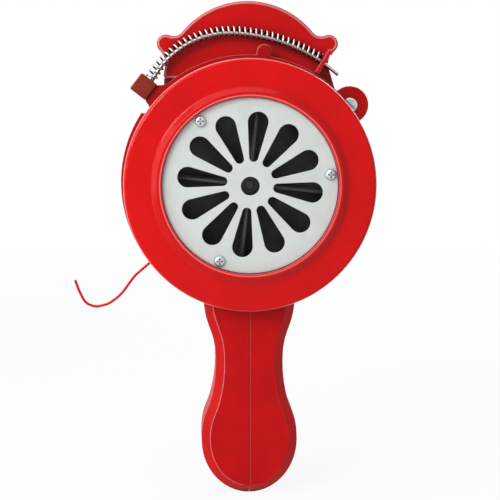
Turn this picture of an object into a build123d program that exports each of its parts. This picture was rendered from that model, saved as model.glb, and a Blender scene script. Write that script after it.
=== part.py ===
from build123d import *
from math import acos, asin, atan2, cos, degrees, hypot, pi, radians, sin, sqrt, tan
import os

# Hand crank siren. A crank at the back turns a train of gears, the gears spin a bladed rotor inside a
# ported drum, and a ring shutter round the drum opens and shuts the sound ports against a long spring.
#
# Everything is drawn about the rotor's axis, which runs front to back through x = 0, z = 0, with depth y
# counted backwards from the flat face of the front flange. export() then moves the lot so that the origin
# lies in the middle of the hand grip's waist. Angles are clockwise from straight up, seen from the front.
# Lengths are millimetres and angles degrees.

# ---- running and seating clearances
run = 0.05          # a shaft in its bore, all round
seat = 0.02         # a bush, bearing or gear on its seat
slack = 0.3         # screw shanks in plain holes, and turning neighbours
join = 1.0          # how far joined shapes of one piece reach into each other
floor_t = 1.0       # what a blind hole leaves standing
tip_gap = 0.1       # from a screw's tip to the floor of its hole

# ---- front flange and grille
flange_r = 78.0
flange_t = 4.0
flange_round = 2.2
skirt_len = 4.0
skirt_t = 3.0
bead_w = 3.1
bead_h = 2.5
cove_w = 3.4
bead_in_round = 0.7
bead_out_round = 1.1
cove_round = 2.6
skirt_round = 0.8
web_round = 1.5
grille_r = 54.0
grille_t = 1.2
grille_y = 0.6
grille_gap = 0.3
eye_r = 5.8
petals = 12
petal_turn = 7.2
petal_rise = 0.8      # the openings sit a little above the plate's middle
petal_in_r = 14.2
petal_tip_r = 45.0
petal_in_w = 5.6
petal_out_w = 12.7
web_in_r = 46.4
web_back = 5.0
grille_screw_turns = (-37.5, 82.0, 202.3)
grille_screw_ring = 50.0

# ---- screws
m4_r = 2.0
m3_r = 1.5
pan_r = 3.3
pan_h = 2.2
pan_round = 1.65
csk_r = 3.8
cross_len = 4.1
cross_w = 1.0
cross_depth = 1.0
drum_screws = 6
drum_screw_ring = 49.8

# ---- drum, rotor and ports
ports = 8
port_turn = 22.5
port_deg = 18.0
port_y0 = 11.5
port_y1 = 28.5
drum_r = 57.0
drum_t = 3.4
lip_t = 3.0
collar_r = 62.0
collar_gap = 0.2
rotor_gap = 1.0
rotor_t = 1.9
rotor_y0 = 11.0
rotor_sill = 1.0
vane_t = 1.6
vane_turn = 6.0
back_t = 1.6
hub_r = 9.0
hub_y0 = 16.0
nose_len = 6.0
washer_w = 3.5
washer_t = 1.0
rotor_nut_flats = 10.0
rotor_nut_t = 4.0

# ---- shutter ring with its lug, block, rod and spring
ring_r = 80.4
ring_t = 3.0
ring_y = 30.5
ring_run = 0.08
sleeve_t = 1.6
window_deg = 19.0
window_over = 0.5
shutter_travel = 20.5
nub_w = 9.6
nub_len = 7.2
nub_round = 1.2
stop_gap = 0.3
stop_turn = -12.0
stop_over = 1.0
stop_head_gap = 0.4
block_size = 12.2
block_depth = 11.0
block_at = -67.7        # about the centre of the rod's tight bend
block_turn = -52.0      # the way its outer face looks
block_over_rod = 3.14   # its middle lies this far outside the rod
block_round = 0.9
block_gap = 0.7
block_screw_out = 1.6
lug_h = 9.0
lug_waist = (9.0, -9.4)      # points of its hollow side towards the rod, from the block's middle
lug_foot = (15.0, -11.7)
lug_heel = (-7.0, -8.4)
lug_notch_r = 3.4
lug_notch = (-10.4, -8.1)
tongue_w = 7.0
tongue_len = 4.4
rod_r = 1.25
rod_y = 35.2
rod_out = 13.8          # from the ring's edge to the point where the rod's two bends meet
rod_join_at = -5.91
rod_join_turn = 1.7
rod_tight_in = 24.8
rod_wide_over = 27.3
rod_tail = 12.5
rod_in_block = 4.0
wire_r = 0.55
coil_r = 3.2
coil_lift = 1.2
coils = 35
coil_gap_block = 0.65
coil_gap_wall = 0.45

# ---- front plate, with its ears and the upright wall that the rod slides through
plate_y = 40.0
plate_t = 4.0
plate_round = 1.3
plate_disc_r = 63.0
crank_z = 60.3
body_r = 53.8
ear_x = 51.7
ear_z = 87.3
ear_r = 5.8
ear_top_blend = 7.0
ear_low_blend = 12.0
plate_floor_z = 65.0
plate_corner_r = 2.7
plate_rim_z = 61.0
rib_turn = 32.0
rib_t = 2.6
rib_gap = 0.9
rib_len = 16.7
rib_depth = 10.5
rib_over = 1.5
rib_round = 0.7
stem_w = 26.0
stem_z = -98.0
stem_round = 3.0

# ---- gearbox
housing_t = 3.0
housing_len = 28.0
housing_round = 0.8
box_inset = 0.6
gear_room = 1.5
bearing_lobe_r = 19.0
cover_t = 3.5
cover_round = 1.2
boss_wall = 3.0
low_bosses = ((-16.5, -16.5), (17.5, -16.5), (-36.0, 12.0))
boss_r = 5.8
tooth_1 = 1.25      # module of the crank gear and the idler's pinion
tooth_2 = 1.0       # module of the idler gear and the rotor's pinion
crank_teeth = 72
idler_pinion_teeth = 12
idler_teeth = 60
rotor_pinion_teeth = 12
pressure = 25.0
backlash = 0.12
stage_2_y = 53.0
stage_1_y = 61.5
gear_w = 6.0
gear_hub_r = 10.0
gear_pin_r = 1.5
gear_pin_len = 19.0
pinion_over = 1.0
web_holes = 6
crank_hole_r = 8.5
crank_hole_ring = 27.0
idler_hole_r = 5.5
idler_hole_ring = 17.0
idler_hub_wall = 2.0
rotor_shaft_r = 3.0
idler_pin_r = 3.0
crank_shaft_r = 5.0
bearing_r = 9.5
bearing_w = 6.0
bearing_wall = 1.0
bearing_over = 0.5
race_t = 2.0
ball_r = 2.0
balls = 7
bush_t = 2.0
bush_len = 6.0
bush_floor = 2.0
bush_in = 2.5
bush_lip_w = 2.0
bush_lip_t = 1.6
pin_floor = 1.5

# ---- crank
arm_y = 84.0
arm_t = 6.0
arm_gap = 1.0
arm_round = 0.9
crank_boss_wall = 4.5
crank_boss_round = 1.0
arm_hub_r = 11.0
arm_end_r = 12.5
arm_half_w = 8.0
arm_x, arm_z = 70.1, 47.8
arm_flat = 8.0
spindle_r = 4.0
spindle_head_r = 4.8
spindle_head_t = 2.8
spindle_head_round = 1.0
spindle_slot_turn = 45.0
spindle_slot_w = 1.3
spindle_slot_depth = 1.0
knob_len = 50.0
knob_r = 10.2
knob_foot_r = 8.0
knob_tip_r = 6.5
knob_bulge = 24.0
knob_washer_w = 2.4
knob_washer_t = 0.9
knob_nut_r = 6.2
knob_nut_t = 5.0
knob_nut_round = 1.5
crank_nut_flats = 13.0
crank_nut_t = 5.0
thread_over = 2.5

# ---- grip
grip_y0 = 12.0
grip_y1 = 47.5
grip_wall = 3.2
grip_face_t = 5.2
grip_top = 64.5
grip_neck_z = -58.0
grip_neck_w = 61.8
shoulder_z = -84.2
shoulder_w = 54.2
neck_low_z = -97.0
neck_low_w = 45.8
waist_z = -113.6
waist_w = 42.4
thigh_z = -127.0
thigh_w = 44.6
calf_z = -139.0
calf_w = 50.2
bulb_z = -163.0
bulb_w = 60.7
bulb_drop = 34.2
bevel = 5.5
seam = 0.3
ring_room = 1.0
core_w = 16.0
core_y0 = 22.0
core_y1 = 38.0
core_z = -187.0
core_round = 1.5
core_gap = 0.5
core_top_z = -84.0
pad_top_z = -66.0
pad_y = 36.2
pad_inset = 1.0
core_screw_z = (-71.0, -91.0)
pillar_r = 5.0
grip_screw_z = (-104.0, -140.0, -178.0)
grip_screw_short = 1.0
grip_head_sink = 1.5

# ---- thin wire hook behind the flange, seen from the front
hook_r = 0.9
hook_eye_r = 4.2
hook_eye_t = 1.6
hook_anchor = (-43.0, -36.5)
hook_points = ((-63.1, -52.7), (-72.9, -61.1), (-81.9, -73.5), (-89.8, -79.3),
               (-98.2, -81.3), (-104.7, -78.7), (-108.6, -70.9), (-111.2, -63.7))
hook_bends = (30.0, 25.0, 30.0, 12.0, 12.0, 8.0, 9.0, 30.0)

# ---- sizes that follow from the ones above
grille_back = grille_y + grille_t
drum_in_r = drum_r - drum_t
skirt_y = flange_t + skirt_len
ring_back = ring_y + ring_t
ring_bore = drum_r + ring_run
nub_r = ring_r + nub_len
stop_ring = (collar_r + ring_r) / 2
rod_tight_r = ring_r - rod_tight_in
rod_wide_r = ring_r + rod_wide_over
rib_r0 = ring_r + rib_gap
rib_r1 = rib_r0 + rib_len
rotor_r = drum_in_r - rotor_gap
neck_r = rotor_shaft_r + race_t
plate_back = plate_y + plate_t
housing_y = plate_back
cover_y = housing_y + housing_len
cover_back = cover_y + cover_t
rotor_y1 = plate_y - lip_t - rotor_gap
grip_y = (grip_y0 + grip_y1) / 2
arm_back = arm_y + arm_t
boss_back = arm_y - arm_gap - bush_lip_t
knob_y = arm_back + knob_washer_t + slack
span_1 = tooth_1 * (crank_teeth + idler_pinion_teeth) / 2
span_2 = tooth_2 * (idler_teeth + rotor_pinion_teeth) / 2
idler_turn = degrees(acos((span_2 ** 2 + crank_z ** 2 - span_1 ** 2) / (2 * span_2 * crank_z)))
idler_x = span_2 * sin(radians(idler_turn))
idler_z = span_2 * cos(radians(idler_turn))


# ======== drawing helpers
def polar(r, turn):
    """The point at radius r, turned clockwise from straight up."""
    return r * sin(radians(turn)), r * cos(radians(turn))


def slab(sketch, y0, y1):
    """A front view, drawn in x and z, made solid from depth y0 to depth y1."""
    back = Plane(origin=(0, y1, 0), x_dir=(1, 0, 0), z_dir=(0, -1, 0))
    return extrude(back * sketch, amount=y1 - y0, dir=(0, -1, 0))


def outline(points):
    """A straight-sided face, with its corners given in either order."""
    area = sum(a[0] * b[1] - b[0] * a[1] for a, b in zip(points, points[1:] + points[:1]))
    return Polygon(*(points if area > 0 else points[::-1]), align=None)


def ring(r0, r1, y0, y1, x=0.0, z=0.0):
    """A flat or tall ring about a front-to-back axis through x, z."""
    return slab(Pos(x, z) * (Circle(r1) - Circle(r0)), y0, y1)


def rod(r, y0, y1, x=0.0, z=0.0):
    """A round bar along y through x, z."""
    return slab(Pos(x, z) * Circle(r), y0, y1)


def turned(points, rounds, x=0.0, z=0.0):
    """A section of (radius, depth) corners, each with its rounding, spun about y through x, z."""
    section = make_face(FilletPolyline(*points, radius=rounds, close=True))
    return Pos(x, 0, z) * revolve(section, axis=Axis.Y)


def wedge(mid, width, r):
    """A pie slice as wide as width degrees, reaching past radius r."""
    reach = r / cos(radians(width / 2))
    return outline([(0, 0), polar(reach, mid - width / 2), polar(reach, mid + width / 2)])


def ring_of_cuts(count, first, width, r0, r1, y0, y1):
    """Slots through a round wall between radii r0 and r1, evenly spaced."""
    slots = [wedge(first + 360 / count * i, width, r1) for i in range(count)]
    return slab(Sketch() + slots - Circle(r0), y0, y1)


def holes(places, r, y0, y1):
    """Round holes or bars along y at the given places."""
    return slab(Sketch() + [Pos(x, z) * Circle(r) for x, z in places], y0, y1)


def circle_of(count, r, first=0.0):
    """Evenly spaced places on a circle about the rotor's axis."""
    return [polar(r, first + 360 / count * i) for i in range(count)]


def blend(c1, r1, c2, r2, f, side):
    """The web between two circles whose open side is a hollow arc of radius f."""
    d = hypot(c2[0] - c1[0], c2[1] - c1[1])
    a, b = r1 + f, r2 + f
    lean = acos((a * a + d * d - b * b) / (2 * a * d))
    way = atan2(c2[1] - c1[1], c2[0] - c1[0]) + side * lean
    top = (c1[0] + a * cos(way), c1[1] + a * sin(way))
    return outline([c1, c2, top]) - Pos(*top) * Circle(f)


def eared(inset=0.0):
    """The round body with an ear at each upper side, drawn in x and z."""
    middle = (0, crank_z)
    shape = Pos(*middle) * Circle(body_r - inset)
    for hand in (-1, 1):
        ear = (hand * ear_x, ear_z)
        shape += Pos(*ear) * Circle(ear_r - inset)
        shape += blend(middle, body_r - inset, ear, ear_r - inset, ear_top_blend + inset, hand)
        shape += blend(middle, body_r - inset, ear, ear_r - inset, ear_low_blend + inset, -hand)
    return shape


def bored_screw(x, z, y_head, y_end, r=m4_r):
    """A pan-head screw put in from the front, with a cross in its head."""
    top = y_head - pan_h
    head = turned([(0, top), (pan_r, top), (pan_r, y_head), (0, y_head)], [0, pan_round, 0, 0])
    cross = Rectangle(cross_len, cross_w) + Rectangle(cross_w, cross_len)
    head -= slab(cross, top, top + cross_depth)
    return Pos(x, 0, z) * (head + rod(r - seat, y_head, y_end))


def flush_screw(x, z, y_head, y_end, r=m4_r):
    """A flush screw along y: its flat head lies in the plane y_head."""
    way = 1 if y_end > y_head else -1
    cone = way * (csk_r - r)
    body = [(0, y_head), (csk_r, y_head), (r - seat, y_head + cone), (r - seat, y_end), (0, y_end)]
    cross = Rectangle(cross_len, cross_w) + Rectangle(cross_w, cross_len)
    y0, y1 = sorted((y_head, y_head + way * cross_depth))
    return Pos(x, 0, z) * (turned(body, [0] * 5) - slab(cross, y0, y1))


def flush_hole(x, z, y_head, y_end, r=m4_r):
    """The countersunk hole for flush_screw."""
    way = 1 if y_end > y_head else -1
    wide = csk_r + seat
    cone = way * (wide - r)
    body = [(0, y_head), (wide, y_head), (r, y_head + cone), (r, y_end), (0, y_end)]
    return turned(body, [0] * 5, x, z)


def hex_nut(flats, bore, y0, y1, x=0.0, z=0.0):
    """A six-sided nut with a plain bore."""
    return slab(Pos(x, z) * (RegularPolygon(flats / 2, 6, major_radius=False) - Circle(bore)), y0, y1)


# ======== front flange, grille and drum
def front_flange():
    """The wide front ring: a raised bead round the grille, a rounded rim and a short skirt behind."""
    bead_r = grille_r + grille_gap
    top_r = bead_r + bead_w
    flat_r = top_r + cove_w
    body = turned(
        [(web_in_r, grille_back), (bead_r, grille_back), (bead_r, -bead_h), (top_r, -bead_h),
         (flat_r, 0), (flange_r, 0), (flange_r, skirt_y), (flange_r - skirt_t, skirt_y),
         (flange_r - skirt_t, flange_t), (collar_r, flange_t), (collar_r, web_back), (web_in_r, web_back)],
        [0, 0, bead_in_round, bead_out_round, cove_round, flange_round, skirt_round, skirt_round, web_round,
         0, 0, 0])
    body -= holes(grille_screw_places(), m4_r, grille_back, web_back)
    for x, z in circle_of(drum_screws, drum_screw_ring):
        body -= flush_hole(x, z, grille_back, web_back)
    return body


def petal(turn):
    """A teardrop opening: a small round end near the hub and a wide one near the rim."""
    low, high = petal_in_w / 2, petal_out_w / 2
    centre_0, centre_1 = petal_in_r + low, petal_tip_r - high
    lean = asin((high - low) / (centre_1 - centre_0))
    side = [(low * cos(lean), centre_0 - low * sin(lean)), (high * cos(lean), centre_1 - high * sin(lean))]
    web = outline(side + [(-x, z) for x, z in reversed(side)])
    return Rot(0, 0, -turn) * (web + Pos(0, centre_0) * Circle(low) + Pos(0, centre_1) * Circle(high))


def intake_grille():
    """The flat plate with petal openings that air is drawn through."""
    plate = Circle(grille_r) - Circle(eye_r)
    plate -= [Pos(0, petal_rise) * petal(petal_turn + 360 / petals * i) for i in range(petals)]
    plate -= [Pos(x, z) * Circle(m4_r) for x, z in grille_screw_places()]
    return slab(plate, grille_y, grille_back)


def grille_screw_places():
    return [polar(grille_screw_ring, t) for t in grille_screw_turns]


def grille_screws():
    """Three pan-head screws that hold the grille into the flange."""
    return [bored_screw(x, z, grille_y, web_back + lip_t - seat) for x, z in grille_screw_places()]


def stator_drum():
    """The fixed drum: a tube with sound ports, a lip at each end and a collar behind the ring."""
    lip_r = web_in_r
    collar_y = ring_back + collar_gap
    body = turned(
        [(lip_r, web_back), (drum_r, web_back), (drum_r, collar_y), (collar_r, collar_y),
         (collar_r, plate_y), (lip_r, plate_y), (lip_r, plate_y - lip_t), (drum_in_r, plate_y - lip_t),
         (drum_in_r, web_back + lip_t), (lip_r, web_back + lip_t)], [0] * 10)
    body -= ring_of_cuts(ports, port_turn, port_deg, lip_r, drum_r + drum_t, port_y0, port_y1)
    body -= holes(circle_of(drum_screws, drum_screw_ring), m4_r, web_back, web_back + lip_t)
    body -= holes(grille_screw_places(), m4_r, web_back, web_back + lip_t)
    body -= holes(circle_of(drum_screws, drum_screw_ring), m4_r, plate_y - lip_t, plate_y)
    return body


def drum_front_screws():
    """Flush screws under the grille that hold the flange to the drum."""
    places = circle_of(drum_screws, drum_screw_ring)
    return [flush_screw(x, z, grille_back, web_back + lip_t - seat) for x, z in places]


def drum_rear_screws():
    """Flush screws through the front plate into the drum's rear lip."""
    places = circle_of(drum_screws, drum_screw_ring)
    return [flush_screw(x, z, plate_back, plate_y - lip_t + seat) for x, z in places]


# ======== rotor
def rotor():
    """The bladed rotor: hub, back disc, eight straight vanes and a ported outer wall."""
    back_y = rotor_y1 - back_t
    bore = rotor_shaft_r + seat
    body = ring(bore, hub_r, hub_y0, rotor_y1 + rotor_gap)
    body += ring(bore, neck_r, rotor_y1, housing_y + bearing_wall)
    body += ring(hub_r - join, rotor_r, back_y, rotor_y1)
    wall = ring(rotor_r - rotor_t, rotor_r, rotor_y0, rotor_y1)
    wall -= ring_of_cuts(ports, port_turn, port_deg, hub_r, rotor_r + rotor_t, port_y0 + rotor_sill, port_y1)
    body += wall
    length = rotor_r - rotor_t / 2 - hub_r + join
    for i in range(ports):
        turn = vane_turn + 360 / ports * i
        vane = Pos(0, (rotor_y0 + back_y) / 2, hub_r - join + length / 2)
        body += Rot(0, turn, 0) * vane * Box(vane_t, back_y - rotor_y0, length)
    return body - rod(hub_r + join, rotor_y0, hub_y0)


def rotor_shaft():
    """The rotor's steel shaft, from the nut in front to the rear bearing."""
    nose, tail = hub_y0 - nose_len, cover_y - bearing_wall - bearing_over
    return turned([(0, nose), (rotor_shaft_r, nose), (rotor_shaft_r, tail), (0, tail)], [0, 0.5, 0.5, 0])


def rotor_washer():
    return ring(rotor_shaft_r + seat, rotor_shaft_r + washer_w, hub_y0 - washer_t, hub_y0)


def rotor_nut():
    y1 = hub_y0 - washer_t
    return hex_nut(rotor_nut_flats, rotor_shaft_r + seat, y1 - rotor_nut_t, y1)


def bearing_places():
    """Depths at which the two ball bearings of the rotor shaft start."""
    return housing_y + bearing_wall, cover_y - bearing_wall - bearing_w


def ball_track(y):
    """The round groove that the balls of a bearing starting at y run in."""
    track_r = (rotor_shaft_r + bearing_r) / 2
    section = Pos(track_r, y + bearing_w / 2) * Circle(ball_r + run)
    return revolve(section, axis=Axis.Y)


def bearing_outer_rings():
    inner, outer = bearing_r - race_t, bearing_r - seat
    return [ring(inner, outer, y, y + bearing_w) - ball_track(y) for y in bearing_places()]


def bearing_inner_rings():
    inner, outer = rotor_shaft_r + seat, rotor_shaft_r + race_t
    return [ring(inner, outer, y, y + bearing_w) - ball_track(y) for y in bearing_places()]


def bearing_balls():
    track_r = (rotor_shaft_r + bearing_r) / 2
    return [Pos(x, y + bearing_w / 2, z) * Sphere(ball_r)
            for y in bearing_places() for x, z in circle_of(balls, track_r)]


# ======== shutter
def rod_centres():
    """Centres of the rod's tight left bend and of its wide right bend, which share a tangent."""
    join_x, join_z = polar(ring_r + rod_out, rod_join_at)
    out_x, out_z = polar(1, rod_join_turn)
    tight = (join_x - out_x * rod_tight_r, join_z - out_z * rod_tight_r)
    wide = (join_x - out_x * rod_wide_r, join_z - out_z * rod_wide_r)
    return tight, wide


def block_place():
    """The middle of the thumb block, just outside the rod."""
    x, z = polar(rod_tight_r + block_over_rod, block_at)
    cx, cz = rod_centres()[0]
    return cx + x, cz + z


def turn_on_arc(centre, r, spot, face_turn, ahead):
    """Where the arc is when it lies a distance ahead of a radial face through spot."""
    along_x, along_z = cos(radians(face_turn)), -sin(radians(face_turn))
    off = (centre[0] - spot[0]) * along_x + (centre[1] - spot[1]) * along_z
    return face_turn + degrees(asin((ahead - off) / r))


def rod_reach(turn):
    """How far from the rotor's axis the rod's wide bend is, in the direction of turn."""
    cx, cz = rod_centres()[1]
    ux, uz = polar(1, turn)
    along = cx * ux + cz * uz
    return along + sqrt(along ** 2 - cx ** 2 - cz ** 2 + rod_wide_r ** 2)


def bent_bar(r, centre, bend_r, turn_0, turn_1):
    """A round bar bent about a centre, in the plane of the rod."""
    x, z = polar(bend_r, turn_0)
    start = Plane(origin=(centre[0] + x, rod_y, centre[1] + z), x_dir=(0, 1, 0),
                  z_dir=(cos(radians(turn_0)), 0, -sin(radians(turn_0))))
    about = Axis((centre[0], rod_y, centre[1]), (0, 1, 0))
    return revolve(start * Circle(r), axis=about, revolution_arc=turn_1 - turn_0)


def guide_rod(r=rod_r, extra=0.0):
    """The bent rod that is fixed in the block and slides through the front plate's wall."""
    tight, wide = rod_centres()
    start = turn_on_arc(tight, rod_tight_r, block_place(), block_turn, -rod_in_block - extra)
    end = turn_on_arc(wide, rod_wide_r, (0, 0), rib_turn, rod_tail)
    bar = bent_bar(r, tight, rod_tight_r, start, rod_join_turn)
    return bar + bent_bar(r, wide, rod_wide_r, rod_join_turn, end)


def at_block():
    """The block's own place: x along the rod, z outwards."""
    x, z = block_place()
    return Pos(x, 0, z) * Rot(0, block_turn, 0)


def block_screw_place():
    """Where the screw passes through the block, outside the rod."""
    x, z = block_place()
    out_x, out_z = polar(block_screw_out, block_turn)
    return x + out_x, z + out_z


def block_y():
    """Depth of the block's front face: it stands a little clear of the front plate."""
    return plate_y - block_gap - block_depth


def tongue(grow=0.0):
    """The end of the ring's lug, which sits in the block's slot."""
    top = tongue_len + grow
    height = top + block_size
    flat = Rectangle(tongue_w + 2 * grow, height)
    bar = slab(Pos(0, top - height / 2) * flat, ring_y - grow, ring_back + grow)
    return at_block() * bar


def shutter_ring():
    """The flat ring behind the flange, with its lug at the left and its stop nub near the top."""
    body = ring(ring_bore, ring_r, ring_y, ring_back)
    turn = nub_turn()
    neck = nub_r - nub_w / 2
    nub = Pos(0, neck) * Circle(nub_w / 2)
    nub += Pos(0, (neck + stop_ring) / 2) * Rectangle(nub_w, neck - stop_ring)
    nub = slab(Rot(0, 0, -turn) * nub, ring_y, ring_back)
    body += fillet(nub.edges().group_by(Axis.Y)[0], nub_round)
    body -= at_block() * rod(lug_notch_r, ring_y, ring_back, *lug_notch)
    body += at_block() * slab(lug_face(), ring_y, ring_back) + tongue()
    slot_0, slot_1 = stop_turn, stop_turn - shutter_travel - stop_over
    half = m4_r + slack
    lane = Circle(stop_ring + half) - Circle(stop_ring - half)
    slot = lane & wedge((slot_0 + slot_1) / 2, slot_0 - slot_1, ring_r)
    slot += [Pos(*polar(stop_ring, t)) * Circle(half) for t in (slot_0, slot_1)]
    body -= slab(slot, ring_y, ring_back)
    return body - rod(m3_r, ring_y, ring_back, *block_screw_place())


def lug_face():
    """The lug's front, seen with the block's middle as zero: hollow towards the rod, steep on the other side."""
    low, half = -block_size / 2 - run, block_size / 2
    hollow = ThreePointArc((half, low), lug_waist, lug_foot)
    deep = low - lug_h
    rest = Polyline(lug_foot, (lug_foot[0], deep), (lug_heel[0], deep), lug_heel, (-half, low), (half, low))
    return make_face(hollow + rest)


def nub_turn():
    """The nub meets the wall, but for a small gap, when the shutter is turned all the way."""
    half = degrees(asin((nub_w / 2 + rib_t / 2 + stop_gap) / rib_r0))
    return rib_turn - half - shutter_travel


def shutter_sleeve():
    """The thin tube on the drum whose windows pass over the drum's ports."""
    body = ring(ring_bore, ring_bore + sleeve_t, web_back + slack, ring_y)
    y0, y1 = port_y0 - window_over, port_y1 + window_over
    return body - ring_of_cuts(ports, port_turn, window_deg, drum_in_r, ring_r, y0, y1)


def thumb_block():
    """The square block that the thumb pushes, slotted for the lug's end and bored for the rod."""
    y = block_y()
    body = Pos(0, y + block_depth / 2, 0) * Box(block_size, block_depth, block_size)
    body = at_block() * fillet(body.edges(), block_round)
    body -= tongue(run) + guide_rod(rod_r + seat, seat)
    return body - flush_hole(*block_screw_place(), y + block_depth, ring_y - floor_t, m3_r)


def block_screw():
    y = block_y() + block_depth
    return flush_screw(*block_screw_place(), y, ring_y - floor_t + tip_gap, m3_r)


def stop_screw():
    """The screw in the front plate that the ring's curved slot runs on."""
    x, z = polar(stop_ring, stop_turn)
    return bored_screw(x, z, ring_y - stop_head_gap, plate_back - floor_t - tip_gap)


def spring_line():
    """Length of the spring's centre line, and a function that gives its place, heading and bend."""
    tight, wide = rod_centres()
    r_tight, r_wide = rod_tight_r + coil_lift, rod_wide_r + coil_lift
    start = turn_on_arc(tight, r_tight, block_place(), block_turn, block_size / 2 + wire_r + coil_gap_block)
    end = turn_on_arc(wide, r_wide, (0, 0), rib_turn, -rib_t / 2 - wire_r - coil_gap_wall)
    first = radians(rod_join_turn - start) * r_tight
    total = first + radians(end - rod_join_turn) * r_wide

    def place(s):
        centre, r, turn = tight, r_tight, radians(start) + s / r_tight
        if s > first:
            centre, r, turn = wide, r_wide, radians(rod_join_turn) + (s - first) / r_wide
        return centre, r, turn

    return total, place


def coil_point(s, total, place):
    """A point of the coiled wire and its direction there, at length s of the centre line."""
    centre, r, turn = place(s)
    out, along, back = Vector(sin(turn), 0, cos(turn)), Vector(cos(turn), 0, -sin(turn)), Vector(0, 1, 0)
    spin = 2 * pi * coils * s / total
    spot = Vector(centre[0], rod_y, centre[1]) + out * (r + coil_r * cos(spin)) - back * (coil_r * sin(spin))
    rate = coil_r * 2 * pi * coils / total
    way = along * (1 + coil_r * cos(spin) / r) - (back * cos(spin) + out * sin(spin)) * rate
    return spot, way.normalized()


def two_arcs(p0, t0, p1, t1):
    """Two arcs that leave p0 along t0 and arrive at p1 along t1."""
    v, t = p1 - p0, t0 + t1
    k = 2 * (1 - t0.dot(t1))
    d = (-v.dot(t) + sqrt(v.dot(t) ** 2 + k * v.dot(v))) / k
    middle = (p0 + p1 + (t0 - t1) * d) * 0.5
    chord = (middle - p0).normalized()
    t_middle = chord * (2 * chord.dot(t0)) - t0
    return [Edge.make_tangent_arc(p0, t0, middle), Edge.make_tangent_arc(middle, t_middle, p1)]


def return_spring():
    """The long open spring round the rod, one round wire swept along arcs of a quarter turn."""
    total, place = spring_line()
    steps = coils * 4
    per_coil = 24
    count = coils * per_coil + 1
    marks = [coil_point(total * i / steps, total, place) for i in range(steps + 1)]
    arcs = []
    for (p0, t0), (p1, t1) in zip(marks, marks[1:]):
        arcs += two_arcs(p0, t0, p1, t1)
    line = Wire(arcs)
    fine = [coil_point(total * i / (count - 1), total, place)[0] for i in range(count)]
    near = min((fine[i] - fine[j]).length for i in range(count)
               for j in range(i + per_coil // 2 + 1, min(i + 5 * per_coil // 2, count)))
    print("spring: length of wire %.1f mm, least gap to itself %.2f mm" % (line.length, near - 2 * wire_r))
    start = Plane(origin=marks[0][0], z_dir=marks[0][1])
    return sweep(start * Circle(wire_r), path=line)


# ======== front plate and gearbox
def plate_outline():
    """The eared top, cut off low at the left and along the upright wall at the right, plus disc and stem."""
    far = 3 * body_r
    below = outline([(-far, plate_floor_z), (0, plate_floor_z), (0, -far), (-far, -far)])
    ux, uz = polar(1, rib_turn)
    side_x, side_z = uz * rib_t / 2, -ux * rib_t / 2
    low, high = plate_disc_r - join, rib_r1 - rib_over
    beyond = outline([(ux * low + side_x, uz * low + side_z), (ux * high + side_x, uz * high + side_z),
                      (far, uz * high - far * ux), (far, -far), (0, -far)])
    top = eared() - below - beyond
    corner = top.vertices().sort_by_distance((-plate_disc_r, plate_floor_z, 0))[0]
    top = fillet(corner, plate_corner_r)
    stem = Pos(0, stem_z / 2) * RectangleRounded(stem_w, -stem_z, stem_round)
    return top + Circle(plate_disc_r) + stem


def front_plate():
    """The plate that carries drum, wall for the rod, gearbox and handle core."""
    body = slab(plate_outline(), plate_y, plate_back)
    rim = [e for e in body.edges().group_by(Axis.Y)[0] if e.center().Z > plate_rim_z]
    body = fillet(rim, plate_round)
    wall = Pos(0, plate_y + (join - rib_depth) / 2, (rib_r0 + rib_r1) / 2)
    wall *= Box(rib_t, rib_depth + join, rib_r1 - rib_r0)
    wall = fillet(wall.edges().group_by(Axis.Y)[0], rib_round)
    near, past = rod_reach(rib_turn), rod_reach(rib_turn - shutter_travel)
    slot_len = past - near + 2 * (rod_r + slack)
    slot = Pos(0, rod_y, (near + past) / 2) * Box(3 * rib_t, 2 * (rod_r + slack), slot_len)
    body += Rot(0, rib_turn, 0) * (wall - fillet(slot.edges().filter_by(Axis.X), rod_r))
    body -= rod(hub_r + rotor_gap, plate_y, plate_back)
    for x, z in circle_of(drum_screws, drum_screw_ring):
        body -= flush_hole(x, z, plate_back, plate_y)
    body -= holes(screw_places(), m4_r, plate_y + floor_t, plate_back)
    body -= holes([polar(stop_ring, stop_turn)], m4_r, plate_y, plate_back - floor_t)
    body -= holes([hook_anchor], m3_r, plate_y + floor_t, plate_back)
    for z in core_screw_z:
        body -= flush_hole(0, z, plate_back, plate_y)
    return body


def gearbox_outline(inset=0.0):
    """The tight outline round the crank gear, the idler gear and the rotor's bearing."""
    idler_lobe_r = tooth_2 * (idler_teeth / 2 + 1) + gear_room + housing_t
    lobes = [Pos(0, crank_z) * Circle(body_r - box_inset - inset),
             Pos(idler_x, idler_z) * Circle(idler_lobe_r - inset), Circle(bearing_lobe_r - inset)]
    return make_hull([e for lobe in lobes for e in lobe.edges()])


def gearbox_face():
    """The outline with the ears and the bosses of the cover's screws."""
    face = gearbox_outline() + eared(box_inset)
    return face + [Pos(x, z) * Circle(boss_r) for x, z in low_bosses]


def screw_places():
    return list(low_bosses) + [(-ear_x, ear_z), (ear_x, ear_z)]


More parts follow.
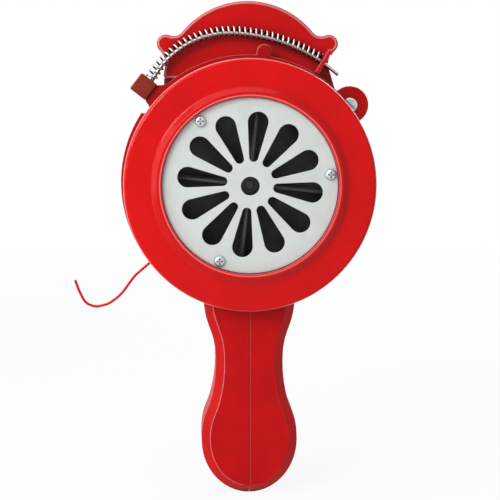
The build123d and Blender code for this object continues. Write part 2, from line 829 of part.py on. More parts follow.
def gearbox_housing():
    """The gearbox shell, open at the back, with seats for bearing, bush and pin in its front wall."""
    body = slab(gearbox_face(), housing_y, cover_y)
    body = fillet(body.edges().group_by(Axis.Y)[0], housing_round)
    body -= slab(gearbox_outline(housing_t), housing_y + housing_t, cover_y)
    inside = housing_y + housing_t - join
    bearing_y = bearing_places()[0]
    body += rod(bearing_r + boss_wall, inside, bearing_y + bearing_w)
    body += rod(crank_shaft_r + bush_t + boss_wall, inside, bush_y() + bush_len, 0, crank_z)
    body += rod(idler_pin_r + boss_wall, inside, stage_2_y - bearing_over, idler_x, idler_z)
    body -= rod(bearing_r, bearing_y, cover_y) + rod(neck_r + rotor_gap, housing_y, bearing_y)
    body -= rod(crank_shaft_r + bush_t, bush_y(), cover_y, 0, crank_z)
    body -= rod(idler_pin_r + seat, housing_y + pin_floor, cover_y, idler_x, idler_z)
    return body - holes(screw_places(), m4_r + slack, housing_y, cover_y)


def bush_y():
    """Depth of the blind seat of the crank shaft's front bush."""
    return housing_y + bush_floor


def rear_bush_y():
    return cover_y - bush_in


def gearbox_cover():
    """The rear cover, with the crank's bearing boss outside and two bosses inside."""
    body = slab(gearbox_face(), cover_y, cover_back)
    body = fillet(body.edges().group_by(Axis.Y)[-1], cover_round)
    bush_r, bearing_y = crank_shaft_r + bush_t, bearing_places()[1]
    boss_r = bush_r + crank_boss_wall
    body += turned([(0, cover_y), (boss_r, cover_y), (boss_r, boss_back), (0, boss_back)],
                   [0, 0, crank_boss_round, 0], 0, crank_z)
    body += rod(bearing_r + boss_wall, bearing_y - bearing_over, cover_y)
    body += rod(bush_r + boss_wall, rear_bush_y(), cover_y, 0, crank_z)
    body += rod(idler_pin_r + boss_wall, idler_top() + bearing_over, cover_y, idler_x, idler_z)
    body -= rod(bearing_r, bearing_y - bearing_over, bearing_y + bearing_w)
    body -= rod(bush_r, rear_bush_y(), boss_back, 0, crank_z)
    body -= rod(idler_pin_r + seat, idler_top(), cover_back - pin_floor, idler_x, idler_z)
    return body - holes(screw_places(), m4_r + slack, cover_y, cover_back)


def idler_top():
    """Depth where the idler's pinion ends."""
    return stage_1_y + gear_w + pinion_over


def cover_screws():
    """Long screws from the back through cover and housing into the front plate."""
    tip = plate_y + floor_t + tip_gap
    return [Rot(0, 0, 180) * bored_screw(-x, z, -cover_back, -tip) for x, z in screw_places()]


def crank_bushes():
    """Two plain bushes that carry the crank shaft."""
    outer, inner = crank_shaft_r + bush_t - seat, crank_shaft_r + run
    rear = ring(inner, outer, rear_bush_y(), boss_back, 0, crank_z)
    rear += ring(inner, outer + bush_lip_w, boss_back, arm_y - arm_gap, 0, crank_z)
    return [ring(inner, outer, bush_y(), bush_y() + bush_len, 0, crank_z), rear]


# ======== gears
def tooth_half(radius, pitch_r, base_r, teeth):
    """Half the angle that a tooth covers at a radius: involute above the base circle, radial below."""
    at_pitch = pi / (2 * teeth) - backlash / (2 * pitch_r)
    if radius <= base_r:
        radius = base_r
    lean = acos(base_r / radius)
    lean_0 = radians(pressure)
    return at_pitch + (tan(lean_0) - lean_0) - (tan(lean) - lean)


def gear_face(teeth, tooth, turn, flank=4):
    """A gear's outline with one tooth pointing to turn."""
    pitch_r = teeth * tooth / 2
    base_r = pitch_r * cos(radians(pressure))
    root_r, tip_r = pitch_r - 1.25 * tooth, pitch_r + tooth
    start_r = max(root_r, base_r)
    below = [root_r] if root_r < base_r else []
    radii = below + [start_r + (tip_r - start_r) * i / flank for i in range(flank + 1)]
    half = [(r, tooth_half(r, pitch_r, base_r, teeth)) for r in radii]
    points = []
    for i in range(teeth):
        middle = radians(turn) + 2 * pi * i / teeth
        points += [(r * sin(middle - a), r * cos(middle - a)) for r, a in half]
        points += [(r * sin(middle + a), r * cos(middle + a)) for r, a in reversed(half)]
    return outline(points)


def heading(x0, z0, x1, z1):
    """Clockwise angle from straight up of the line from one point to another."""
    return degrees(atan2(x1 - x0, z1 - z0))


def gear(teeth, tooth, turn, bore, y0, y1, x=0.0, z=0.0):
    """A plain gear on an axis through x, z."""
    return slab(Pos(x, z) * (gear_face(teeth, tooth, turn) - Circle(bore)), y0, y1)


def facing(turn, teeth):
    """The tooth angle of a gear that has a gap where its neighbour has a tooth."""
    return turn + 180 + 180 / teeth


def crank_gear():
    """The big gear on the crank shaft, with a hub in front and openings in its web."""
    turn = heading(0, crank_z, idler_x, idler_z)
    bore = crank_shaft_r + seat
    back = stage_1_y + gear_w
    body = gear(crank_teeth, tooth_1, turn, bore, stage_1_y, back, 0, crank_z)
    cuts = [(x, z + crank_z) for x, z in circle_of(web_holes, crank_hole_ring, 180 / web_holes)]
    body -= holes(cuts, crank_hole_r, stage_1_y, back)
    return body + ring(bore, gear_hub_r, stage_1_y - gear_w, stage_1_y, 0, crank_z) - gear_pin(seat)


def gear_pin(grow=0.0):
    """The cross pin that locks the crank gear's hub to its shaft."""
    pin = Cylinder(gear_pin_r + grow, gear_pin_len + 2 * grow, rotation=(0, 90, 0))
    return Pos(0, stage_1_y - gear_w / 2, crank_z) * pin


def idler_pinion():
    """The small gear of the first stage, with the sleeve that the idler gear is pressed on."""
    turn = facing(heading(0, crank_z, idler_x, idler_z), idler_pinion_teeth)
    bore = idler_pin_r + run
    top = idler_top()
    body = gear(idler_pinion_teeth, tooth_1, turn, bore, stage_1_y - pinion_over, top, idler_x, idler_z)
    return body + ring(bore, idler_hub_r(), stage_2_y, stage_1_y - pinion_over, idler_x, idler_z)


def idler_hub_r():
    return idler_pin_r + idler_hub_wall


def idler_gear():
    """The large gear of the second stage."""
    turn = heading(idler_x, idler_z, 0, 0)
    bore = idler_hub_r() + seat
    body = gear(idler_teeth, tooth_2, turn, bore, stage_2_y, stage_2_y + gear_w, idler_x, idler_z)
    cuts = [(x + idler_x, z + idler_z) for x, z in circle_of(web_holes, idler_hole_ring)]
    return body - holes(cuts, idler_hole_r, stage_2_y, stage_2_y + gear_w)


def idler_pin():
    floor = pin_floor + tip_gap
    return rod(idler_pin_r, housing_y + floor, cover_back - floor, idler_x, idler_z)


def rotor_pinion():
    """The pinion that drives the rotor."""
    turn = facing(heading(idler_x, idler_z, 0, 0), rotor_pinion_teeth)
    y0, y1 = stage_2_y - pinion_over, stage_2_y + gear_w + pinion_over
    return gear(rotor_pinion_teeth, tooth_2, turn, rotor_shaft_r + seat, y0, y1)


# ======== crank
def shaft_end():
    """The flatted end of the crank shaft, seen along it."""
    return Circle(crank_shaft_r) & Rectangle(2 * crank_shaft_r, arm_flat)


def crank_shaft():
    """The crank shaft: round in its bushes, flatted in the arm, then a threaded end."""
    shoulder = arm_y - arm_gap / 2
    body = rod(crank_shaft_r, bush_y() + tip_gap, shoulder, 0, crank_z)
    body += slab(Pos(0, crank_z) * shaft_end(), shoulder, arm_back)
    body += rod(spindle_r, arm_back, arm_back + crank_nut_t + thread_over, 0, crank_z)
    return body - gear_pin(seat)


def crank_arm():
    """The flat arm: a round boss at the shaft, a round end at the knob."""
    a, b = (0, crank_z), (arm_x, arm_z)
    bar = make_hull([e for x, z in (a, b) for e in (Pos(x, z) * Circle(arm_half_w)).edges()])
    body = slab(bar + Pos(*a) * Circle(arm_hub_r) + Pos(*b) * Circle(arm_end_r), arm_y, arm_back)
    body = fillet(body.edges().group_by(Axis.Y)[0] + body.edges().group_by(Axis.Y)[-1], arm_round)
    flats = Circle(crank_shaft_r + seat) & Rectangle(3 * crank_shaft_r, arm_flat + 2 * seat)
    body -= slab(Pos(*a) * flats, arm_y, arm_back)
    return body - rod(spindle_r + seat, arm_y, arm_back, *b)


def crank_nut():
    return hex_nut(crank_nut_flats, spindle_r + seat, arm_back, arm_back + crank_nut_t, 0, crank_z)


def knob_spindle():
    """The slotted shoulder screw that the knob turns on; its head is at the front of the arm."""
    y0, end = arm_y - spindle_head_t, knob_nut_y() + knob_nut_t + tip_gap
    head = turned([(0, y0), (spindle_head_r, y0), (spindle_head_r, arm_y), (0, arm_y)],
                  [0, spindle_head_round, 0, 0])
    slot = Box(3 * spindle_head_r, 2 * spindle_slot_depth, spindle_slot_w)
    head -= Pos(0, y0, 0) * Rot(0, spindle_slot_turn, 0) * slot
    return Pos(arm_x, 0, arm_z) * (head + rod(spindle_r, arm_y, end))


def knob_washers():
    """A washer at each end of the knob."""
    outer = spindle_r + knob_washer_w
    return [ring(spindle_r + seat, outer, y, y + knob_washer_t, arm_x, arm_z)
            for y in (arm_back, knob_nut_y() - knob_washer_t)]


def knob_nut_y():
    return knob_y + knob_len + slack + knob_washer_t


def knob_nut():
    """The round lock nut at the spindle's end."""
    y0, y1, bore = knob_nut_y(), knob_nut_y() + knob_nut_t, spindle_r + seat
    return turned([(bore, y0), (knob_nut_r, y0), (knob_nut_r, y1), (bore, y1)],
                  [0, 0, knob_nut_round, 0], arm_x, arm_z)


def crank_knob():
    """The barrel-shaped handle of the crank."""
    y0, y1 = knob_y, knob_y + knob_len
    bore = spindle_r + run
    edge = knob_foot_r - knob_tip_r
    foot, shoulder = (knob_foot_r, y0), (knob_foot_r + 1, y0 + 1)
    swell = Spline(shoulder, (knob_r, y0 + knob_bulge), (knob_tip_r + edge, y1 - edge))
    tip = CenterArc((knob_tip_r, y1 - edge), edge, 0, 90)
    rest = Polyline((knob_tip_r, y1), (bore, y1), (bore, y0), foot, shoulder)
    return Pos(arm_x, 0, arm_z) * revolve(make_face(swell + tip + rest), axis=Axis.Y)


# ======== grip
def grip_face(inset=0.0):
    """The grip seen from the front: a waist, then a bulb that ends in half an ellipse."""
    stations = ((grip_neck_w, grip_neck_z), (shoulder_w, shoulder_z), (neck_low_w, neck_low_z),
                (waist_w, waist_z), (thigh_w, thigh_z), (calf_w, calf_z), (bulb_w, bulb_z))
    points = [(w / 2 - inset, z) for w, z in stations]
    side = Spline(*points, tangents=[(-0.3, -1), (0, -1)])
    base = EllipticalCenterArc((0, bulb_z), points[-1][0], bulb_drop - inset, start_angle=180, arc_size=180)
    other = mirror(side, Plane.YZ)
    neck = points[0][0]
    top = Line((neck, grip_neck_z), (-neck, grip_neck_z))
    return make_face(side + base + other + top)


def grip_shell():
    """The whole grip as one hollow body, before it is parted at the seam."""
    body = slab(grip_face(), grip_y0, grip_y1)
    for ends in (0, -1):
        rim = [e for e in body.edges().group_by(Axis.Y)[ends] if e.center().Z < grip_neck_z - join]
        body = chamfer(rim, bevel)
    body -= slab(grip_face(grip_wall), grip_y0 + grip_face_t, grip_y1 - grip_wall)
    return body


def grip_bosses():
    """Round pillars from the side walls to the core, for the screws."""
    y = (core_y0 + core_y1) / 2
    pillars = [Pos(0, y, z) * Cylinder(pillar_r, bulb_w, rotation=(0, 90, 0)) for z in grip_screw_z]
    solid = slab(grip_face(join), grip_y0 + join, grip_y1 - join)
    core = Pos(0, y, core_z / 2) * Box(core_w + 2 * seat, core_y1 - core_y0 + 2 * core_gap, -core_z)
    return (Part() + pillars & solid) - core


def grip_half(hand):
    """One half of the grip: hand is -1 for the left and 1 for the right."""
    shell = grip_shell() + grip_bosses()
    shell -= rod(grip_top, grip_y0, grip_y1)
    shell -= rod(ring_r + ring_room, ring_y - ring_room, ring_back + ring_room)
    side_box = Pos(hand * (flange_r + seam / 2), grip_y, 0) * Box(2 * flange_r, 2 * grip_y, 6 * flange_r)
    half = shell & side_box
    y = (core_y0 + core_y1) / 2
    for z in grip_screw_z:
        half -= Pos(0, y, z) * Cylinder(m4_r, 2 * grip_screw_reach(z), rotation=(0, 90, 0))
        if hand > 0:
            sink = Cylinder(pan_r + slack, bulb_w, rotation=(0, 90, 0))
            half -= Pos(grip_screw_head(z) + bulb_w / 2, y, z) * sink
    return half


def grip_width(z):
    """Half the grip's width at a height, near enough for the screws."""
    spread = (waist_z - z) / (waist_z - bulb_z)
    wide = waist_w / 2 + (bulb_w - waist_w) / 2 * (1 - cos(pi * min(max(spread, 0), 1))) / 2
    low = max(0.0, (bulb_z - z) / bulb_drop)
    return wide * sqrt(1 - low * low)


def grip_screw_reach(z):
    """How far from the middle a grip screw's hole goes into the left half."""
    return grip_width(z) - grip_wall - grip_screw_short


def grip_screw_head(z):
    """Where the underside of a grip screw's head lies, sunk in the right half."""
    return grip_width(z) - grip_wall - grip_head_sink


def grip_screws():
    """Screws put in from the right through both halves and the core."""
    y = (core_y0 + core_y1) / 2
    screws = []
    for z in grip_screw_z:
        screw = bored_screw(0, 0, 0, grip_screw_head(z) + grip_screw_reach(z) - tip_gap)
        screws.append(Pos(grip_screw_head(z), y, z) * Rot(0, 0, 90) * screw)
    return screws


def handle_core():
    """The bar inside the grip and the pad that joins it to the front plate."""
    pad = Pos(0, (pad_y + plate_y) / 2, (pad_top_z + stem_z) / 2)
    pad *= Box(stem_w - 2 * pad_inset, plate_y - pad_y, pad_top_z - stem_z)
    bar = Pos(0, (core_y0 + core_y1) / 2, (core_top_z + core_z) / 2)
    bar *= Box(core_w, core_y1 - core_y0, core_top_z - core_z)
    body = pad + fillet(bar.edges().filter_by(Axis.Z), core_round)
    for z in grip_screw_z:
        hole = Cylinder(m4_r + slack, core_w, rotation=(0, 90, 0))
        body -= Pos(0, (core_y0 + core_y1) / 2, z) * hole
    return body - holes([(0, z) for z in core_screw_z], m4_r, pad_y + floor_t, plate_y)


def core_screws():
    """Flush screws from the back of the front plate into the handle core."""
    return [flush_screw(0, z, plate_back, pad_y + floor_t + tip_gap) for z in core_screw_z]


# ======== wire hook
def wire_hook():
    """A thin stiff wire from behind the front plate, bent like a J, with a flat eye for its screw."""
    y = plate_back + hook_r + seam
    eye_back = plate_back + hook_eye_t
    points = [(hook_anchor[0], y, hook_anchor[1])] + [(x, y, z) for x, z in hook_points]
    line = FilletPolyline(*points, radius=list(hook_limits(points)))
    start = Plane(origin=line @ 0, z_dir=line % 0)
    wire = sweep(start * Circle(hook_r), path=line)
    wire -= rod(hook_eye_r, eye_back, eye_back + 2 * hook_r, *hook_anchor)
    eye = rod(hook_eye_r, plate_back, eye_back, *hook_anchor)
    return wire + eye - rod(m3_r + slack, plate_back, y + 2 * hook_r, *hook_anchor)


def hook_limits(points):
    """Each bend as large as wished, but no larger than its two runs allow."""
    for a, b, c, wish in zip(points, points[1:], points[2:], hook_bends):
        run_0, run_1 = Vector(*b) - Vector(*a), Vector(*c) - Vector(*b)
        bend = radians(run_0.get_angle(run_1))
        yield min(wish, 0.45 * min(run_0.length, run_1.length) / tan(bend / 2))


def hook_screw():
    """The screw that holds the hook's eye to the front plate."""
    head_y = plate_back + hook_eye_t
    screw = bored_screw(0, 0, -head_y, -plate_y - floor_t - tip_gap, m3_r)
    return Pos(hook_anchor[0], 0, hook_anchor[1]) * Rot(0, 0, 180) * screw


# ======== the list of pieces
pieces = {
    "front_flange": front_flange, "intake_grille": intake_grille, "grille_screws": grille_screws,
    "stator_drum": stator_drum, "drum_front_screws": drum_front_screws, "drum_rear_screws": drum_rear_screws,
    "rotor": rotor, "rotor_shaft": rotor_shaft, "rotor_washer": rotor_washer, "rotor_nut": rotor_nut,
    "bearing_outer_rings": bearing_outer_rings, "bearing_inner_rings": bearing_inner_rings,
    "bearing_balls": bearing_balls, "shutter_ring": shutter_ring, "shutter_sleeve": shutter_sleeve,
    "thumb_block": thumb_block, "block_screw": block_screw, "stop_screw": stop_screw, "guide_rod": guide_rod,
    "return_spring": return_spring, "front_plate": front_plate, "gearbox_housing": gearbox_housing,
    "gearbox_cover": gearbox_cover, "cover_screws": cover_screws, "crank_bushes": crank_bushes,
    "crank_gear": crank_gear, "gear_pin": gear_pin, "idler_pinion": idler_pinion, "idler_gear": idler_gear,
    "idler_pin": idler_pin, "rotor_pinion": rotor_pinion, "crank_shaft": crank_shaft, "crank_arm": crank_arm,
    "crank_nut": crank_nut, "knob_spindle": knob_spindle, "knob_washers": knob_washers, "knob_nut": knob_nut,
    "crank_knob": crank_knob, "grip_left": lambda: grip_half(-1), "grip_right": lambda: grip_half(1),
    "grip_screws": grip_screws, "handle_core": handle_core, "core_screws": core_screws,
    "wire_hook": wire_hook, "hook_screw": hook_screw,
}


def export():
    """Write every piece, moved so that the origin lies in the middle of the grip's waist."""
    os.makedirs("parts", exist_ok=True)
    to_grip = Pos(0, -grip_y, -waist_z)
    for name, make in pieces.items():
        made = make()
        solids = made if isinstance(made, list) else [made]
        solids = [s for shape in solids for s in (to_grip * shape).solids()]
        export_step(solids[0] if len(solids) == 1 else Compound(solids), f"parts/{name}.step")


export()
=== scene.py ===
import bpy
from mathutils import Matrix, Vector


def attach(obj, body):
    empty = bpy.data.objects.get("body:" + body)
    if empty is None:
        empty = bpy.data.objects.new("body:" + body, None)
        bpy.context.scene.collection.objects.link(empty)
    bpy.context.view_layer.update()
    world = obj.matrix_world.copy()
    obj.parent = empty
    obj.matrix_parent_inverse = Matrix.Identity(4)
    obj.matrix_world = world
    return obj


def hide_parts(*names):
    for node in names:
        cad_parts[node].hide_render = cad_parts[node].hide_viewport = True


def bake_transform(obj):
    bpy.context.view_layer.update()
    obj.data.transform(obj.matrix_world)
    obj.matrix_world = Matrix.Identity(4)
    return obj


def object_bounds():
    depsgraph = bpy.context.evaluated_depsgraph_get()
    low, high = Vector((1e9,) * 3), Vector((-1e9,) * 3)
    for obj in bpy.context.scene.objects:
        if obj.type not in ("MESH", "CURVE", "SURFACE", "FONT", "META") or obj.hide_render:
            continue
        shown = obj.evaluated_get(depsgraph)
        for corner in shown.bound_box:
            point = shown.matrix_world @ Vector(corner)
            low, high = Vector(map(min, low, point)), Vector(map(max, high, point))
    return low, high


bl_info = {
    "name": "Hand crank siren",
    "version": (1, 0, 0),
    "blender": (4, 5, 0),
    "location": "View3D > Sidebar > Siren",
    "description": "Paints, metals, return spring, screws, light and camera for a hand-held crank siren",
    "category": "Add Mesh",
}

from math import pi, radians

import bpy
import numpy as np
from bpy.props import FloatProperty, FloatVectorProperty, IntProperty, PointerProperty
from mathutils import Vector

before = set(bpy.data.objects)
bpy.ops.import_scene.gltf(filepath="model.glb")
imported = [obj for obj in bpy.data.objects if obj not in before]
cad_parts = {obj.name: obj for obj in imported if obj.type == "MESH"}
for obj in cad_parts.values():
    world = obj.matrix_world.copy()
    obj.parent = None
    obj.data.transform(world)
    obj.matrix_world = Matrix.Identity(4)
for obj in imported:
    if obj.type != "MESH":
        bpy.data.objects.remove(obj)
cad_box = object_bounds()

MM = 0.001

# The rotor's axis runs along Y through this height, and depths count backwards from the flange's flat face.
ROTOR_Z = 0.1136
FLANGE_Y = -0.02975
SPRING_DEPTH = 35.2

# The bead round the grille: the distances of its crest and of the hollow outside it from the rotor's axis.
BEAD_CREST, BEAD_HOLLOW = 55.5, 58.6


# ======== helpers for arrays and meshes
def spot(x, y, z):
    """A point given from the rotor's axis and the flange's face in millimetres, in the frame's metres."""
    depth, height = FLANGE_Y + np.asarray(y) * MM, ROTOR_Z + np.asarray(z) * MM
    return np.stack(np.broadcast_arrays(x * MM, depth, height), -1)


def grid_faces(rows, cols):
    """Quads between rows of points, where each row is closed into a ring."""
    r, c = np.meshgrid(np.arange(rows - 1), np.arange(cols), indexing="ij")
    right = (c + 1) % cols
    quads = np.stack([r * cols + c, r * cols + right, (r + 1) * cols + right, (r + 1) * cols + c], -1)
    return quads.reshape(-1, 4)


def capped_tube(points):
    """Vertices and faces of rings of points, rows x cols x 3, with a fan at each end."""
    rows, cols = points.shape[:2]
    verts = np.concatenate([points.reshape(-1, 3), points[0].mean(0)[None], points[-1].mean(0)[None]])
    c = np.arange(cols)
    after = (c + 1) % cols
    low = np.stack([after, c, np.full(cols, rows * cols)], -1)
    last = (rows - 1) * cols
    high = np.stack([last + c, last + after, np.full(cols, rows * cols + 1)], -1)
    return verts, grid_faces(rows, cols).tolist() + low.tolist() + high.tolist()


def new_piece(name, verts, faces, finish, body=None):
    """A smooth mesh object with its finish; it rides on a body if one is named."""
    mesh = bpy.data.meshes.new(name)
    mesh.from_pydata(verts.tolist(), [], faces)
    mesh.shade_smooth()
    piece = bpy.data.objects.new(name, mesh)
    bpy.context.scene.collection.objects.link(piece)
    mesh.materials.append(bpy.data.materials[finish])
    if body:
        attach(piece, body)
    return piece


# ======== helpers for materials
class Field:
    """A socket in a material's tree; arithmetic on it adds Math nodes."""

    def __init__(self, finish, socket):
        self.finish = finish
        self.socket = socket

    def math(self, operation, *values):
        """A Math node on the given values, or on this field alone."""
        inputs = dict(enumerate(values or (self,)))
        return self.finish.node("ShaderNodeMath", {"operation": operation}, inputs)

    def __add__(self, other):
        return self.math("ADD", self, other)

    def __radd__(self, other):
        return self.math("ADD", other, self)

    def __sub__(self, other):
        return self.math("SUBTRACT", self, other)

    def __rsub__(self, other):
        return self.math("SUBTRACT", other, self)

    def __mul__(self, other):
        return self.math("MULTIPLY", self, other)

    def __rmul__(self, other):
        return self.math("MULTIPLY", other, self)

    def __truediv__(self, other):
        return self.math("DIVIDE", self, other)

    def __pow__(self, other):
        return self.math("POWER", self, other)

    def step(self, low, high):
        """0 below low, 1 above high, smooth between."""
        inputs = {"Value": self, "From Min": low, "From Max": high}
        return self.finish.node("ShaderNodeMapRange", {"interpolation_type": "SMOOTHSTEP"}, inputs)


class Finish:
    """One material: a node tree with a Principled shader, and the fields that feed it."""

    def __init__(self, name):
        self.material = bpy.data.materials.new(name)
        self.material.use_nodes = True
        self.tree = self.material.node_tree
        self.shader = self.tree.nodes["Principled BSDF"]
        self.place = self.node("ShaderNodeTexCoord", output="Object")

    def node(self, kind, settings=None, inputs=None, output=0):
        """Adds a node: its settings first, then each input as a value or a link."""
        node = self.tree.nodes.new(kind)
        for key, value in (settings or {}).items():
            setattr(node, key, value)
        for key, value in (inputs or {}).items():
            self.feed(node.inputs[key], value)
        return Field(self, node.outputs[output])

    def feed(self, socket, value):
        if isinstance(value, Field):
            self.tree.links.new(value.socket, socket)
        else:
            socket.default_value = value

    def set(self, **values):
        """Feeds the shader's own inputs, named with underscores for spaces."""
        for key, value in values.items():
            self.feed(self.shader.inputs[key.replace("_", " ").title().replace("Ior", "IOR")], value)
        return self

    def noise(self, size, detail=2.0, place=None):
        """Cloudy noise from 0 to 1 whose features are about size metres wide."""
        inputs = {"Vector": place or self.place, "Scale": 1 / size, "Detail": detail}
        return self.node("ShaderNodeTexNoise", None, inputs)

    def cells(self, size, place=None):
        """Distance to the nearest of random points about size metres apart."""
        return self.node("ShaderNodeTexVoronoi", None, {"Vector": place or self.place, "Scale": 1 / size})

    def stretched(self, x=1.0, y=1.0, z=1.0):
        """The place with each direction scaled, so that noise on it turns into streaks."""
        return self.node("ShaderNodeMapping", None, {"Vector": self.place, "Scale": (x, y, z)})

    def along(self, axis):
        """The x, y or z of the place, in metres."""
        return self.node("ShaderNodeSeparateXYZ", None, {"Vector": self.place}, axis.upper())

    def from_axis(self):
        """Distance from the rotor's axis, in millimetres."""
        inputs = {"Vector": self.place, "Location": (0, 0, -ROTOR_Z / MM), "Scale": (1 / MM, 0, 1 / MM)}
        flat = self.node("ShaderNodeMapping", None, inputs)
        return self.node("ShaderNodeVectorMath", {"operation": "LENGTH"}, {0: flat}, "Value")

    def facing(self, first, second):
        """How far two directions agree, from -1 to 1."""
        return self.node("ShaderNodeVectorMath", {"operation": "DOT_PRODUCT"}, {0: first, 1: second}, "Value")

    def normal(self):
        return self.node("ShaderNodeNewGeometry", output="Normal")

    def rounded_edges(self):
        """1 where a rounding turns from a face across the siren's axis to its side, 0 on both of these."""
        lean = self.facing(self.normal(), (0, 1, 0)).math("ABSOLUTE")
        return lean.step(0.1, 0.3) * (1 - lean.step(0.5, 0.8))

    def sharp_edges(self, radius):
        """1 along corners, fading to 0 at the radius from them."""
        softened = self.node("ShaderNodeBevel", {"samples": 6}, {"Radius": radius})
        return 1 - self.facing(self.normal(), softened).step(0.86, 0.995)

    def open_air(self, reach):
        """0 in crevices narrower than reach, 1 on open faces."""
        return self.node("ShaderNodeAmbientOcclusion", {"samples": 8}, {"Distance": reach}, "AO")

    def mix(self, first, second, factor):
        """A colour between first and second."""
        inputs = {"Factor": factor, 6: as_colour(first), 7: as_colour(second)}
        return self.node("ShaderNodeMix", {"data_type": "RGBA"}, inputs, 2)

    def relief(self, height, depth, rounding=0.0):
        """Feeds Normal with a bump of the given depth in metres, over edges rounded in the shading."""
        inputs = {"Height": height, "Distance": depth}
        if rounding:
            inputs["Normal"] = self.node("ShaderNodeBevel", {"samples": 6}, {"Radius": rounding})
        self.set(normal=self.node("ShaderNodeBump", None, inputs))
        return self


def as_colour(value):
    return value if isinstance(value, Field) else (*value[:3], 1.0)


def shade(colour, factor):
    return tuple(channel * factor for channel in colour[:3])


def paler(colour, amount):
    return tuple(channel + (1 - channel) * amount for channel in colour[:3])


# ======== finishes
def enamel(name, colour, gloss=0.24, bead=None):
    """Glossy baked paint: faint orange peel, dust specks, and a painted highlight, a paler colour, along
    rounded and sharp edges.

    bead names two distances from the rotor's axis, in millimetres: the crest of a raised bead, painted paler
    as a highlight, and the middle of the hollow outside it, painted darker as shade.
    """
    finish = Finish(name)
    patch = finish.noise(0.035, 3.0)
    fine = finish.noise(0.0021, 1.0)
    edges = finish.rounded_edges()
    # Rounded and sharp edges get a paler colour, a painted highlight, and a glossier coat.
    edge_highlight_mask = edges.math("MAXIMUM", edges, finish.sharp_edges(0.0007)) * (patch * 0.4 + 0.4)
    if bead:
        away = finish.from_axis()
        crest, hollow = ((away - middle).math("ABSOLUTE") for middle in bead)
        edge_highlight_mask = edge_highlight_mask * hollow.step(0.8, 2.6)
    tint = finish.mix(shade(colour, 0.92), shade(colour, 1.05), patch.step(0.3, 0.7))
    speck = finish.cells(0.0045).step(0.0, 0.05)
    speckled = finish.mix(shade(colour, 0.72), tint, speck * 0.25 + 0.75)
    edged = finish.mix(speckled, paler(colour, 0.3), edge_highlight_mask)
    if bead:
        # The hollow outside the bead is painted darker as shade, and the bead's crest paler as a highlight.
        edged = finish.mix(edged, shade(colour, 0.85), 1 - hollow.step(0.8, 2.4))
        edged = finish.mix(edged, paler(colour, 0.16), 1 - crest.step(0.15, 0.6))
    # Crevices are painted darker, as shade.
    finish.set(base_color=finish.mix(shade(colour, 0.22), edged, finish.open_air(0.006)))
    finish.set(roughness=patch * 0.08 + fine * 0.05 + gloss, specular_ior_level=0.08)
    finish.set(coat_weight=edge_highlight_mask * 0.6 + 0.4, coat_roughness=0.07, coat_ior=1.3)
    return finish.relief(fine + finish.noise(0.0008) * 0.3, 0.00004, 0.0006).material


def moulded(name, colour, gloss=0.33, rim=None, joint=None):
    """Moulded plastic: a fine spark-eroded grain, slow changes of gloss, and corners made glossier by the
    hand.

    rim and joint are the colours of its corners, painted to stand for highlight and shade: away from the
    middle, x = 0, and along the joint there. Both default to a paler colour, a painted highlight.
    """
    finish = Finish(name)
    patch = finish.noise(0.02, 3.0)
    grain = finish.noise(0.00055, 2.0)
    corner_highlight_and_gloss = finish.sharp_edges(0.0009)
    worn = finish.mix(shade(colour, 0.92), shade(colour, 1.06), patch.step(0.3, 0.7))
    outer = finish.along("x").math("ABSOLUTE").step(0.003, 0.005)
    pale = paler(colour, 0.3)
    # The corners' colours are painted highlight and painted shade.
    edged = finish.mix(worn, finish.mix(joint or pale, rim or pale, outer), corner_highlight_and_gloss)
    # Crevices are painted darker, as shade.
    finish.set(base_color=finish.mix(shade(colour, 0.3), edged, finish.open_air(0.003)))
    finish.set(roughness=patch * 0.1 + grain * 0.12 - corner_highlight_and_gloss * 0.2 + gloss, specular_ior_level=0.14)
    finish.set(coat_weight=corner_highlight_and_gloss * 0.7, coat_roughness=0.12, coat_ior=1.5)
    return finish.relief(grain, 0.00005, 0.0009).material


def satin(name, colour, rough=0.42):
    """Satin sheet metal: a fine even blast texture with faint marks of handling."""
    finish = Finish(name)
    blast = finish.noise(0.0004, 2.0)
    marks = finish.noise(0.012, 4.0)
    brushed = finish.noise(0.0007, 2.0, finish.stretched(1, 1, 0.03))
    worn = finish.mix(shade(colour, 0.94), shade(colour, 1.03), marks.step(0.3, 0.7) * 0.7 + brushed * 0.3)
    # Crevices are painted darker, as shade.
    finish.set(base_color=finish.mix(shade(colour, 0.45), worn, finish.open_air(0.0015)))
    finish.set(roughness=marks * 0.1 + blast * 0.06 + rough, metallic=0.25, specular_ior_level=0.3)
    return finish.relief(blast, 0.00003, 0.0004).material


def plated(name, colour, rough=0.26, shade_reach=0.0012, shade_from_y=None):
    """Zinc or nickel plating: bright, with a cloudy film, short turning lines, and painted shade that darkens
    its recesses.

    Behind a given depth, in metres, it is painted dark brown as shade.
    """
    finish = Finish(name)
    film = finish.noise(0.004, 3.0)
    lines = finish.noise(0.0003, 1.0, finish.stretched(1, 12, 1))
    bright = finish.mix(shade(colour, 0.8), colour, film.step(0.35, 0.65))
    # Behind the given depth the colour is painted dark brown, as shade.
    if shade_from_y is not None:
        behind = finish.along("y").step(shade_from_y - 0.0006, shade_from_y + 0.0008)
        bright = finish.mix(bright, (0.05, 0.028, 0.024), behind)
    # Recesses are painted darker, as shade.
    finish.set(base_color=finish.mix(shade(colour, 0.06), bright, finish.open_air(shade_reach).step(0.25, 0.95)))
    finish.set(roughness=film * 0.14 + lines * 0.06 + rough, metallic=1.0)
    return finish.relief(lines, 0.00002, 0.0003).material


